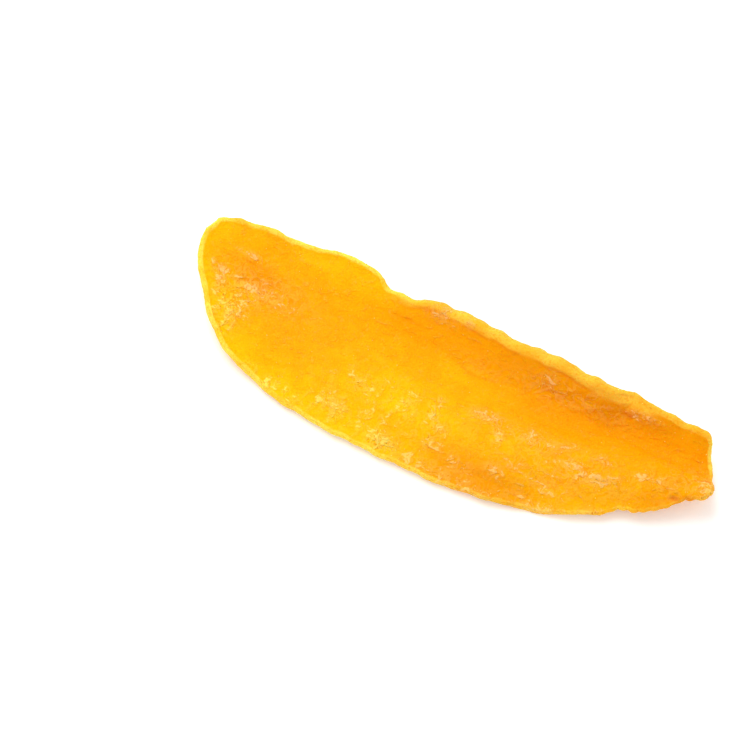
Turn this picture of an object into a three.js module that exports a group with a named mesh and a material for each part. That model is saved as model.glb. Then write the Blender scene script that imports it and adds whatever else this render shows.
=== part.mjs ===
// A dried mango slice: one long cheek of the fruit, cut lengthwise and dried on a flat tray.
//
// Seen from above it is a D. The straight edge lies at +Y, the curved edge at -Y, the broad rounded
// nose at -X and the blunt, torn tip at +X. In drying the straight edge curled up into a steep wall
// with a wavy rim, the nose lifted, and a fold rose from the belly and ran out into the tip. The
// slice rests on the flat spots that its underside dried to. Millimetres, +Z up.

import * as THREE from "three";

const { clamp, lerp, smoothstep, degToRad } = THREE.MathUtils;

// Outline, seen from above. Y is counted from the straight edge.
const NOSE = { x: -63.6, y: -6.2, along: 3.4, across: 1.6, turnX: -53.5 };
const DEEPEST = { x: 2.4, y: -35.2 };
const TIP = { x: 63.9, y: -13.9, leanness: 2.2 };
const NOSE_TOP = { x: -62.6, y: -2.2 };
const CUT_TOP = { x: 59.0, y: -2.2 };

// Section
const BELLY_THICKNESS = 3.5;
const EDGE_THICKNESS = 1.5;
const RIM_BEAD = 0.3;
const BEAD_REACH = 1.2;
const RIM_ROUNDNESS = 0.28;
const PRESSED_FLAT = 0.4;

// How finely the slab is divided: along, across, and through the thickness at the rim
const STEPS_ALONG = 84;
const STEPS_ACROSS = 22;
const STEPS_THROUGH = 4;

// The simple curves that the features below are made of
const bell = (at, centre, spread) => Math.exp(-(((at - centre) / spread) ** 2));

// Level below 0, then bending up into a straight slope that reaches 1 at 1.
const BEND = 0.46;
const hinge = (at) => (at + Math.hypot(at, BEND)) / (1 + Math.hypot(1, BEND));

// A value that changes smoothly from station to station, each station being [x, value].
function along(stations, x) {
  const next = stations.findIndex(([at]) => at > x);
  if (next === 0) return stations[0][1];
  if (next < 0) return stations[stations.length - 1][1];
  const [[fromX, from], [toX, to]] = [stations[next - 1], stations[next]];
  return lerp(from, to, smoothstep(x, fromX, toX));
}

// Waves along a line, each { length, height, shift }.
const waves = (set, at) =>
  set.reduce((sum, w) => sum + w.height * Math.sin((2 * Math.PI * at) / w.length + w.shift), 0);

// The straight edge: a low swell, a step down where the rim buckled, and small scallops.
const RIM_SCALLOPS = [
  { length: 17.0, height: 0.14, shift: 0.4 },
  { length: 8.3, height: 0.1, shift: 2.1 },
  { length: 4.7, height: 0.06, shift: 4.0 },
];
const straightLine = (x) =>
  1.35 * bell(x, -32.5, 11.5) - 1.7 * bell(x, 11, 20) +
  1.6 * smoothstep(x, 33, 40) - 3.2 * smoothstep(x, 2, 60) - 0.5 * bell(x, 52, 5) + 0.45;
const BUCKLE_DEPTH = 1.9;
const buckle = (x) => smoothstep(x, -23.8, -19.6) - smoothstep(x, -15.5, -6);
const straightEdgeY = (x) => straightLine(x) - BUCKLE_DEPTH * buckle(x) + waves(RIM_SCALLOPS, x);

// The curved edge: full towards the nose, lean towards the tip, where it is torn.
const EDGE_SCALLOPS = [
  { length: 13.0, height: 0.13, shift: 1.0 },
  { length: 6.1, height: 0.08, shift: 3.3 },
];
const TEARS = [
  { x: 47.3, depth: 1.4, spread: 3.0 },
  { x: 59.3, depth: 1.4, spread: 3.6 },
];
const TORN_FROM = 40;
const NOSE_CORNER = { x: -47.5, depth: 0.6, spread: 4.0 };

function curvedEdgeY(x) {
  const corner = NOSE_CORNER.depth * bell(x, NOSE_CORNER.x, NOSE_CORNER.spread);
  const scallops = waves(EDGE_SCALLOPS, x) - corner;
  if (x < DEEPEST.x) {
    const share = Math.min((DEEPEST.x - x) / (DEEPEST.x - NOSE.x), 1);
    const fullness = (1 - share ** NOSE.along) ** (1 / NOSE.across);
    return lerp(NOSE.y, DEEPEST.y, fullness) + scallops;
  }
  const share = Math.min((x - DEEPEST.x) / (TIP.x - DEEPEST.x), 1);
  const torn = TEARS.reduce((sum, tear) => sum + tear.depth * bell(x, tear.x, tear.spread), 0);
  const fraying = 0.14 * Math.sin(3.1 * x) * smoothstep(x, TORN_FROM, TORN_FROM + 8);
  return lerp(TIP.y, DEEPEST.y, 1 - share ** TIP.leanness) + torn + fraying + scallops;
}

// The nose's outline, as X for each Y between the turn of the curved edge and the straight edge. Its
// lower part is a little flat.
const NOSE_FLAT = { y: -18.8, depth: 1.4, spread: 4.5 };

function noseX(y) {
  const share = clamp((NOSE.y - y) / (NOSE.y - DEEPEST.y), 0, 1);
  const round = lerp(DEEPEST.x, NOSE.x, (1 - share ** NOSE.across) ** (1 / NOSE.along));
  return round + NOSE_FLAT.depth * bell(y, NOSE_FLAT.y, NOSE_FLAT.spread);
}

const NOSE_TURN = { x: NOSE.turnX, y: curvedEdgeY(NOSE.turnX) };
const TIP_TURN = { x: TIP.x - 0.6, y: curvedEdgeY(TIP.x - 0.6) };
const TIP_BULGES = [
  { y: -12.2, height: 1.2, spread: 2.6 },
  { y: -7.4, height: 1.0, spread: 2.2 },
];

// The outline's four sides, each run by a share from 0 to 1. The straight one rounds off at both
// ends, over these shares of its length.
const NOSE_ROUNDING = 0.1;
const CUT_ROUNDING = 0.03;
const sides = {
  straight(u) {
    const x = lerp(NOSE_TOP.x, CUT_TOP.x, u);
    const belowAtNose = straightEdgeY(NOSE_TOP.x) - NOSE_TOP.y;
    const belowAtCut = straightEdgeY(CUT_TOP.x) - CUT_TOP.y;
    const atNose = belowAtNose * clamp(1 - u / NOSE_ROUNDING, 0, 1) ** 3;
    const atCut = belowAtCut * clamp(1 - (1 - u) / CUT_ROUNDING, 0, 1) ** 2;
    return { x, y: straightEdgeY(x) - atNose - atCut };
  },
  curved(u) {
    const x = lerp(NOSE_TURN.x, TIP_TURN.x, u);
    return { x, y: curvedEdgeY(x) };
  },
  nose(v) {
    const y = lerp(NOSE_TURN.y, NOSE_TOP.y, v);
    const closing = (NOSE_TURN.x - noseX(NOSE_TURN.y)) * (1 - v);
    const rounding = (NOSE_TOP.x - NOSE.x) * smoothstep(y, NOSE.y, NOSE_TOP.y);
    return { x: noseX(y) + closing + rounding, y };
  },
  tip(v) {
    const y = lerp(TIP_TURN.y, CUT_TOP.y, v);
    const bulge = TIP_BULGES.reduce((sum, b) => sum + b.height * bell(y, b.y, b.spread), 0);
    return { x: lerp(TIP_TURN.x, CUT_TOP.x, v) + bulge * clamp(8 * v * (1 - v), 0, 1), y };
  },
};

// A point inside the outline, blended from its four sides.
function planPoint(u, v) {
  const blend = (axis) => {
    const [low, high] = [sides.curved(u)[axis], sides.straight(u)[axis]];
    const [left, right] = [sides.nose(v)[axis], sides.tip(v)[axis]];
    const lowCorner = lerp(NOSE_TURN[axis], TIP_TURN[axis], u);
    const highCorner = lerp(NOSE_TOP[axis], CUT_TOP[axis], u);
    return lerp(low, high, v) + lerp(left, right, u) - lerp(lowCorner, highCorner, v);
  };
  return { x: blend("x"), y: blend("y") };
}

// The wall that the straight edge curled up into. Towards the nose its upper part rolls out again
// into a flap, and at the buckle it is a little lower.
const WALL_HEIGHT = [[-64, 2.5], [-46, 6.0], [-27, 12.6], [-8, 9.0], [30, 9.6], [45, 8.9], [54, 7.2], [63, 5.4]];
const WALL_WIDTH = [[-64, 7], [-40, 9.5], [-26, 10], [0, 6.2], [30, 5.8], [50, 5.4], [63, 5]];
const FLAP = [[-60, 0.35], [-40, 0.5], [-26, 0.72], [-12, 0]];
const ROLLED_RIM = { x: 41, spread: 7.5, from: 0.7, strength: 0.85 };
const BUCKLE_DROP = 0.9;
const RIM_LIFTS = [
  { length: 23.0, height: 0.18, shift: 2.6 },
  { length: 10.1, height: 0.1, shift: 0.9 },
];

function wall(x, y) {
  const share = Math.min(1 - (straightLine(x) - y) / along(WALL_WIDTH, x), 1.15);
  const rolled = ROLLED_RIM.strength * bell(x, ROLLED_RIM.x, ROLLED_RIM.spread);
  const rolledOut = along(FLAP, x) * hinge(share - 0.5) + rolled * Math.max(share - ROLLED_RIM.from, 0);
  const unevenness = waves(RIM_LIFTS, x) - BUCKLE_DROP * buckle(x);
  return along(WALL_HEIGHT, x) * (hinge(share) - rolledOut) + unevenness * Math.max(share, 0) ** 3;
}

// The fold that rises from the belly and runs out into the tip
const FOLD_Y = [[-60, -24], [-10, -24], [14, -23], [34, -18.2], [48, -14.4], [64, -12.9]];
const FOLD_HEIGHT = [[-50, 0.3], [-6, 1.7], [24, 2.8], [44, 3.9], [60, 4.4]];
const FOLD_SPREAD = [[-40, 11], [6, 8.5], [34, 6.2], [50, 4.2], [62, 3.4]];
const FOLD_APRON = [[-40, 12], [6, 11], [34, 10], [50, 9], [62, 6]];

function fold(x, y) {
  const crest = along(FOLD_Y, x);
  const spread = along(y > crest ? FOLD_SPREAD : FOLD_APRON, x);
  return along(FOLD_HEIGHT, x) * bell(y, crest, spread);
}

// The nose lifts off the tray, its lower border turns up a little, and the tip lifts less.
const NOSE_LIFT = { from: -34, height: 4.6, run: 29, power: 1.7 };
const BORDER_LIFT = { x: -49, spread: 15, height: 1.4, width: 9 };
const TIP_LIFT = { from: 44, height: 1.0, run: 20 };
const lifts = (x, y) =>
  NOSE_LIFT.height * clamp((NOSE_LIFT.from - x) / NOSE_LIFT.run, 0, 1.1) ** NOSE_LIFT.power +
  BORDER_LIFT.height * bell(x, BORDER_LIFT.x, BORDER_LIFT.spread) *
    clamp(1 - (y - curvedEdgeY(x)) / BORDER_LIFT.width, 0, 1) ** 2 +
  TIP_LIFT.height * clamp((x - TIP_LIFT.from) / TIP_LIFT.run, 0, 1.1) ** 2;

// Dents and swells of the dried flesh, each a round bell.
const DENTS = [
  { x: -49, y: -14, depth: 0.9, spread: 6.5 },
  { x: 12, y: -31, depth: 0.5, spread: 5 },
  { x: -25, y: -18, depth: -0.4, spread: 9 },
  { x: 30, y: -28, depth: 1.2, spread: 5.5 },
  { x: -36, y: -29, depth: 0.4, spread: 5 },
];
const dents = (x, y) =>
  DENTS.reduce((sum, d) => sum - d.depth * bell(Math.hypot(x - d.x, y - d.y), 0, d.spread), 0);

// The slice's middle surface, as a height over the tray.
const middleHeight = (x, y) => wall(x, y) + fold(x, y) + lifts(x, y) + dents(x, y);

function middleNormal(x, y) {
  const step = 0.2;
  const slopeX = (middleHeight(x + step, y) - middleHeight(x - step, y)) / (2 * step);
  const slopeY = (middleHeight(x, y + step) - middleHeight(x, y - step)) / (2 * step);
  return new THREE.Vector3(-slopeX, -slopeY, 1).normalize();
}

// Shallow furrows along the fruit's fibres, different on the two faces.
const FURROWS = [
  { length: 6.2, height: 0.09, drift: 0.05 },
  { length: 4.1, height: 0.05, drift: -0.08 },
];
const furrows = (x, y, face) =>
  FURROWS.reduce((sum, f) => {
    const across = y + f.drift * x + 0.8 * Math.sin(x / 9 + face);
    return sum + f.height * Math.sin((2 * Math.PI * across) / f.length + 2 * face + x / 14);
  }, 0);

// Thickness: fullest in the belly, thin at the border, with a bead along it. The rim of the straight
// edge is thicker than the rest of the border, except along the flap.
const RIM_FULLNESS = [[-64, 0], [-24, 0.1], [-8, 1.2], [10, 1.5], [34, 1.8], [43, 1.6], [51, 0.5]];

function thickness(x, y, fromBorder) {
  const body = lerp(EDGE_THICKNESS, BELLY_THICKNESS, smoothstep(fromBorder, 0, 10));
  const bead = RIM_BEAD * bell(fromBorder, 0, BEAD_REACH);
  const nearRim = clamp(1 - (straightLine(x) - y) / 6, 0, 1);
  return body + bead + along(RIM_FULLNESS, x) * nearRim;
}

// How far a point is from the border, in plan, by the grid that it lies on.
function borderDistance(u, v) {
  const across = sides.straight(u).y - sides.curved(u).y;
  const length = sides.tip(v).x - sides.nose(v).x;
  return Math.min(v * across, (1 - v) * across, u * length, (1 - u) * length);
}

// Which way the border faces in plan. At a corner of the grid two sides share it.
function outward(u, v) {
  const step = 0.002;
  const facing = new THREE.Vector2();
  const add = (side, share, sign) => {
    const [from, to] = [side(Math.max(share - step, 0)), side(Math.min(share + step, 1))];
    facing.add(new THREE.Vector2(to.y - from.y, from.x - to.x).normalize().multiplyScalar(sign));
  };
  if (v === 0) add(sides.curved, u, 1);
  if (v === 1) add(sides.straight, u, -1);
  if (u === 0) add(sides.nose, v, -1);
  if (u === 1) add(sides.tip, v, 1);
  return facing.normalize();
}

// The place of one point of the slab: u along, v across, w from -1, the underside, to 1, the top.
function placePoint(u, v, w) {
  const { x, y } = planPoint(u, v);
  const normal = middleNormal(x, y);
  const half = thickness(x, y, borderDistance(u, v)) / 2;
  const onBorder = u === 0 || u === 1 || v === 0 || v === 1;
  const place = new THREE.Vector3(x, y, middleHeight(x, y));
  if (!onBorder) return place.addScaledVector(normal, w * half + furrows(x, y, w));

  const away = outward(u, v);
  const alongSurface = new THREE.Vector3(away.x, away.y, 0);
  alongSurface.addScaledVector(normal, -alongSurface.dot(normal)).normalize();
  place.addScaledVector(normal, half * Math.sin(degToRad(90 * w)));
  return place.addScaledVector(alongSurface, RIM_ROUNDNESS * 2 * half * (1 - Math.abs(w) ** 3));
}

// Rows crowd a little towards the border, where the slice bends most.
const crowded = (share) => lerp(share, (1 - Math.cos(Math.PI * share)) / 2, 0.45);

// The slab is a finely divided box whose every point is carried to its place in the slice.
function sliceGeometry() {
  const geometry = new THREE.BoxGeometry(1, 1, 1, STEPS_ALONG, STEPS_ACROSS, STEPS_THROUGH);
  geometry.deleteAttribute("uv");
  const points = geometry.getAttribute("position");
  const exact = (value, steps) => Math.round((value + 0.5) * steps) / steps;
  for (let i = 0; i < points.count; i++) {
    const u = crowded(exact(points.getX(i), STEPS_ALONG));
    const v = crowded(exact(points.getY(i), STEPS_ACROSS));
    const w = 2 * exact(points.getZ(i), STEPS_THROUGH) - 1;
    points.setXYZ(i, ...placePoint(u, v, w));
  }
  return standOnTray(geometry);
}

// Centres the slice over its origin, and presses its lowest spots flat against the tray.
function standOnTray(geometry) {
  geometry.computeBoundingBox();
  const { min, max } = geometry.boundingBox;
  geometry.translate(-(min.x + max.x) / 2, -(min.y + max.y) / 2, -min.z - PRESSED_FLAT);
  const points = geometry.getAttribute("position");
  for (let i = 0; i < points.count; i++) points.setZ(i, Math.max(points.getZ(i), 0));
  geometry.computeVertexNormals();
  return geometry;
}

const driedMango = new THREE.MeshStandardMaterial({
  color: 0xfdaa0c,
  roughness: 0.55,
  metalness: 0,
});

const slice = new THREE.Mesh(sliceGeometry(), driedMango);
slice.name = "mango_slice";

const group = new THREE.Group();
group.add(slice);

export default group;
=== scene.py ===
"""A dried mango slice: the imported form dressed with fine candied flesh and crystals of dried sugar.

The slice is one long cheek of the fruit, dried on a tray. Its form is worked out in the same plan as
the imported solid, in millimetres: the straight edge lies at +Y, the curved edge at -Y, the broad nose
at -X and the torn tip at +X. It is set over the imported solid's box and scaled to metres at the end.
"""

import logging
import math
import random
from dataclasses import dataclass
from enum import Enum
from functools import lru_cache, partial
from typing import NamedTuple

import bmesh
import bpy
from mathutils import Matrix, Vector, noise

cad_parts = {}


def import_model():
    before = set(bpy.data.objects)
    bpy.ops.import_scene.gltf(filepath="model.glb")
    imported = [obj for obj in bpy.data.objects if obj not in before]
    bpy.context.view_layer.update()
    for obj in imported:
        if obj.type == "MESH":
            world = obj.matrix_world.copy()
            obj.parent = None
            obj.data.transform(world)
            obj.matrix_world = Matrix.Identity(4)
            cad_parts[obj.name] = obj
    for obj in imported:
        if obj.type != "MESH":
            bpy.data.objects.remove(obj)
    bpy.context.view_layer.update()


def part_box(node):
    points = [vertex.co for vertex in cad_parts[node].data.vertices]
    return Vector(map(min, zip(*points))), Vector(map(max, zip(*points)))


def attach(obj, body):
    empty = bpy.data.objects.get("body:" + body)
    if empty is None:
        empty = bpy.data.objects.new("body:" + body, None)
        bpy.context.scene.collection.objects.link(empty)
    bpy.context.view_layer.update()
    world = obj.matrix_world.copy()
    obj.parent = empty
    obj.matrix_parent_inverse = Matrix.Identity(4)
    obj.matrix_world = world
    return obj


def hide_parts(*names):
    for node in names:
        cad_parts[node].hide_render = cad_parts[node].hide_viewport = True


logging.basicConfig(level=logging.INFO, format="%(message)s")
log = logging.getLogger("mango_slice")

MM = 0.001
SLICE_NODE = "mango_slice"
# The depth mark is a deeper orange, partly painted shade; gold is partly painted light on the flap; the
# crease mark is painted shade
SURFACE_MARKS = ("rim", "frost", "depth", "gold", "wrinkle", "crease_shade")

# How far apart two seeds' noise lies, and how thin a ridge of noise is
SEED_STEP = 7.3
RIDGE_SHARPNESS = 4.0

# The Mix node's colour sockets have numbers here, because other sockets of it share their names
COLOUR_A, COLOUR_B, MIXED_COLOUR = 6, 7, 2


# Curves that the form is made of


def clamp(value: float, low: float, high: float) -> float:
    """Returns value, kept between low and high."""
    return max(low, min(high, value))


def lerp(start: float, end: float, share: float) -> float:
    """Returns the value that lies at that share of the way from start to end."""
    return start + (end - start) * share


def smoothstep(at: float, start: float, end: float) -> float:
    """Returns 0 before start, 1 after end, and an even rise between them."""
    share = clamp((at - start) / (end - start), 0.0, 1.0)
    return share * share * (3.0 - 2.0 * share)


def bell(at: float, centre: float, spread: float) -> float:
    """Returns a round bump, 1 at centre and near 0 two spreads away."""
    return math.exp(-(((at - centre) / spread) ** 2))


def hinge(at: float, bend: float = 0.46) -> float:
    """Returns a bend from level, below 0, into a straight slope that reaches 1 at 1."""
    return (at + math.hypot(at, bend)) / (1.0 + math.hypot(1.0, bend))


@dataclass(frozen=True)
class Stations:
    """A value that changes smoothly from station to station, each being (x, value)."""

    points: tuple[tuple[float, float], ...]

    def at(self, x: float) -> float:
        """Returns the value at a place, level before the first station and after the last.

        Args:
            x: The place.

        Returns:
            The value there.
        """
        before = self.points[0]
        for point in self.points:
            if point[0] > x:
                if point is before:
                    return point[1]
                return lerp(before[1], point[1], smoothstep(x, before[0], point[0]))
            before = point
        return before[1]


class Wave(NamedTuple):
    """One wave along a line: its length and height in millimetres, and its shift in radians."""

    length: float
    height: float
    shift: float

    def at(self, place: float) -> float:
        """Returns the wave's height at a place along the line."""
        return self.height * math.sin(2.0 * math.pi * place / self.length + self.shift)


def waves(group: tuple[Wave, ...], place: float) -> float:
    """Returns the summed height of a group of waves at a place along their line."""
    return sum(wave.at(place) for wave in group)


class Grain(NamedTuple):
    """Smooth noise: the length and width of its grains, its seed, its height and its middle level."""

    length: float
    width: float
    seed: float
    height: float = 1.0
    middle: float = 0.0

    def at(self, x: float, y: float, face: float = 0.0) -> float:
        """Returns the noise at a place, up to about one height from its middle level.

        Args:
            x: Place along the slice, in millimetres.
            y: Place across the slice, in millimetres.
            face: Place through the thickness, which gives each face its own noise.

        Returns:
            The noise there.
        """
        seen = Vector((x / self.length, y / self.width, SEED_STEP * (self.seed + face)))
        return self.middle + self.height * noise.noise(seen)

    def share(self, x: float, y: float) -> float:
        """Returns the noise at a place, kept between 0 and 1."""
        return clamp(self.at(x, y), 0.0, 1.0)

    def ridge(self, x: float, y: float, face: float) -> float:
        """Returns the height of thin winding ridges, 1 on a crest and 0 well away from it."""
        return clamp(1.0 - RIDGE_SHARPNESS * abs(self.at(x, y, face)), 0.0, 1.0)


class Plan(NamedTuple):
    """A place seen from above, in millimetres."""

    x: float
    y: float


class Swell(NamedTuple):
    """A round swell of a line: its place along the line, its height and its spread."""

    place: float
    height: float
    spread: float

    def at(self, place: float) -> float:
        """Returns the swell's height at a place along the line."""
        return self.height * bell(place, self.place, self.spread)


class Rise(NamedTuple):
    """An even rise of a line from its start to its end, or a fall where its height is below 0."""

    start: float
    end: float
    height: float = 1.0

    def at(self, place: float) -> float:
        """Returns how far the line has risen at a place along it."""
        return self.height * smoothstep(place, self.start, self.end)


@dataclass(frozen=True)
class Outline:
    """The slice's outline from above: a straight edge, a curved edge, a round nose and a torn tip."""

    edge_level: float = 0.45
    edge_parts: tuple[Swell | Rise, ...] = (
        Swell(-32.5, 1.35, 11.5),
        Swell(11.0, -1.7, 20.0),
        Swell(52.0, -0.5, 5.0),
        Rise(33.0, 40.0, 1.6),
        Rise(2.0, 60.0, -3.2),
    )
    buckle_in: Rise = Rise(-23.8, -19.6)
    buckle_out: Rise = Rise(-15.5, -6.0)
    buckle_depth: float = 1.9
    nose: Plan = Plan(-63.6, -6.2)
    nose_along: float = 3.4
    nose_across: float = 1.6
    nose_turn_x: float = -53.5
    nose_top: Plan = Plan(-62.6, -2.2)
    nose_rounding: float = 0.1
    nose_flat: Swell = Swell(-18.8, 1.4, 4.5)
    nose_corner: Swell = Swell(-47.5, 0.6, 4.0)
    deepest: Plan = Plan(2.4, -35.2)
    tip: Plan = Plan(63.9, -13.9)
    tip_inset: float = 0.6
    tip_leanness: float = 2.2
    tip_bulges: tuple[Swell, ...] = (Swell(-12.2, 1.2, 2.6), Swell(-7.4, 1.0, 2.2))
    bulge_fade: float = 8.0
    cut_top: Plan = Plan(59.0, -2.2)
    cut_rounding: float = 0.014
    torn_from: float = 40.0
    torn_run: float = 8.0
    fray_height: float = 0.14
    fray_pitch: float = 3.1
    rim_scallops: tuple[Wave, ...] = (
        Wave(17.0, 0.14, 0.4),
        Wave(8.3, 0.1, 2.1),
        Wave(4.7, 0.06, 4.0),
    )
    edge_scallops: tuple[Wave, ...] = (Wave(13.0, 0.13, 1.0), Wave(6.1, 0.08, 3.3))
    tears: tuple[Swell, ...] = (
        Swell(47.3, 1.4, 3.0),
        Swell(59.3, 1.4, 3.6),
    )

    def straight_line(self, x: float) -> float:
        """Returns the low swell that the straight edge follows, as Y."""
        return sum(part.at(x) for part in self.edge_parts) + self.edge_level

    def buckle(self, x: float) -> float:
        """Returns 1 where the rim buckled inwards, and 0 away from there."""
        return self.buckle_in.at(x) - self.buckle_out.at(x)

    def straight_edge(self, x: float) -> float:
        """Returns the straight edge's Y, with its buckle and scallops."""
        return self.straight_line(x) - self.buckle_depth * self.buckle(x) + waves(self.rim_scallops, x)

    def curved_edge(self, x: float) -> float:
        """Returns the curved edge's Y: full towards the nose, lean and torn towards the tip.

        Args:
            x: The place along the slice.

        Returns:
            The edge's Y there.
        """
        scallops = waves(self.edge_scallops, x) - self.nose_corner.at(x)
        if x < self.deepest.x:
            share = min((self.deepest.x - x) / (self.deepest.x - self.nose.x), 1.0)
            fullness = (1.0 - share**self.nose_along) ** (1.0 / self.nose_across)
            return lerp(self.nose.y, self.deepest.y, fullness) + scallops
        share = min((x - self.deepest.x) / (self.tip.x - self.deepest.x), 1.0)
        torn = sum(tear.at(x) for tear in self.tears)
        in_torn_part = smoothstep(x, self.torn_from, self.torn_from + self.torn_run)
        fraying = self.fray_height * math.sin(self.fray_pitch * x) * in_torn_part
        lean = lerp(self.tip.y, self.deepest.y, 1.0 - share**self.tip_leanness)
        return lean + torn + fraying + scallops

    def nose_x(self, y: float) -> float:
        """Returns where the nose ends at a height of the plan.

        Args:
            y: The place across the slice.

        Returns:
            The nose's X there.
        """
        share = clamp((self.nose.y - y) / (self.nose.y - self.deepest.y), 0.0, 1.0)
        fullness = (1.0 - share**self.nose_across) ** (1.0 / self.nose_along)
        return lerp(self.deepest.x, self.nose.x, fullness) + self.nose_flat.at(y)

    @property
    def nose_turn(self) -> Plan:
        """The place where the curved edge turns into the nose."""
        return Plan(self.nose_turn_x, self.curved_edge(self.nose_turn_x))

    @property
    def tip_turn(self) -> Plan:
        """The place where the curved edge turns into the tip."""
        x = self.tip.x - self.tip_inset
        return Plan(x, self.curved_edge(x))

    @lru_cache(maxsize=None)
    def straight_side(self, u: float) -> Plan:
        """Returns a place on the straight side, which rounds off at both ends.

        Args:
            u: Share of the way from the nose to the tip.

        Returns:
            The place from above.
        """
        x = lerp(self.nose_top.x, self.cut_top.x, u)
        below_at_nose = self.straight_edge(self.nose_top.x) - self.nose_top.y
        below_at_cut = self.straight_edge(self.cut_top.x) - self.cut_top.y
        at_nose = below_at_nose * clamp(1.0 - u / self.nose_rounding, 0.0, 1.0) ** 3
        at_cut = below_at_cut * clamp(1.0 - (1.0 - u) / self.cut_rounding, 0.0, 1.0) ** 2
        return Plan(x, self.straight_edge(x) - at_nose - at_cut)

    @lru_cache(maxsize=None)
    def curved_side(self, u: float) -> Plan:
        """Returns the place at share u of the curved side."""
        x = lerp(self.nose_turn.x, self.tip_turn.x, u)
        return Plan(x, self.curved_edge(x))

    @lru_cache(maxsize=None)
    def nose_side(self, v: float) -> Plan:
        """Returns a place on the nose.

        Args:
            v: Share of the way from the curved side up to the straight one.

        Returns:
            The place from above.
        """
        turn = self.nose_turn
        y = lerp(turn.y, self.nose_top.y, v)
        closing = (turn.x - self.nose_x(turn.y)) * (1.0 - v)
        rounding = (self.nose_top.x - self.nose.x) * smoothstep(y, self.nose.y, self.nose_top.y)
        return Plan(self.nose_x(y) + closing + rounding, y)

    @lru_cache(maxsize=None)
    def tip_side(self, v: float) -> Plan:
        """Returns a place on the tip, which bulges where the fold runs out of it.

        Args:
            v: Share of the way from the curved side up to the straight one.

        Returns:
            The place from above.
        """
        turn = self.tip_turn
        y = lerp(turn.y, self.cut_top.y, v)
        away_from_corners = clamp(self.bulge_fade * v * (1.0 - v), 0.0, 1.0)
        bulge = sum(swell.at(y) for swell in self.tip_bulges) * away_from_corners
        return Plan(lerp(turn.x, self.cut_top.x, v) + bulge, y)

    def point(self, u: float, v: float) -> Plan:
        """Returns a place inside the outline, blended from its four sides.

        Args:
            u: Share of the way from the nose to the tip.
            v: Share of the way from the curved edge to the straight edge.

        Returns:
            The place from above.
        """
        low, high = self.curved_side(u), self.straight_side(u)
        left, right = self.nose_side(v), self.tip_side(v)
        nose_turn, tip_turn = self.curved_side(0.0), self.curved_side(1.0)
        place = []
        for axis in (0, 1):
            low_corner = lerp(nose_turn[axis], tip_turn[axis], u)
            high_corner = lerp(self.nose_top[axis], self.cut_top[axis], u)
            across = lerp(low[axis], high[axis], v)
            place.append(across + lerp(left[axis], right[axis], u) - lerp(low_corner, high_corner, v))
        return Plan(*place)

    def border_distance(self, u: float, v: float) -> float:
        """Returns how far a place is from the border.

        Args:
            u: Share of the way from the nose to the tip.
            v: Share of the way from the curved edge to the straight edge.

        Returns:
            The distance, in millimetres.
        """
        across = self.straight_side(u).y - self.curved_side(u).y
        length = self.tip_side(v).x - self.nose_side(v).x
        return min(v * across, (1.0 - v) * across, u * length, (1.0 - u) * length)

    def outward(self, u: float, v: float) -> Vector:
        """Returns which way the border faces from above.

        Args:
            u: Share of the way from the nose to the tip.
            v: Share of the way from the curved edge to the straight edge.

        Returns:
            The direction, level and one long.
        """
        step = 0.002
        facing = Vector((0.0, 0.0, 0.0))
        for touched, side, share, sign in (
            (v == 0.0, self.curved_side, u, 1.0),
            (v == 1.0, self.straight_side, u, -1.0),
            (u == 0.0, self.nose_side, v, -1.0),
            (u == 1.0, self.tip_side, v, 1.0),
        ):
            if touched:
                start, end = side(max(share - step, 0.0)), side(min(share + step, 1.0))
                facing += Vector((end.y - start.y, start.x - end.x, 0.0)).normalized() * sign
        return facing.normalized()


class Dent(NamedTuple):
    """A round dent of the dried flesh, or a swell where its depth is below 0."""

    x: float
    y: float
    depth: float
    spread: float


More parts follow.
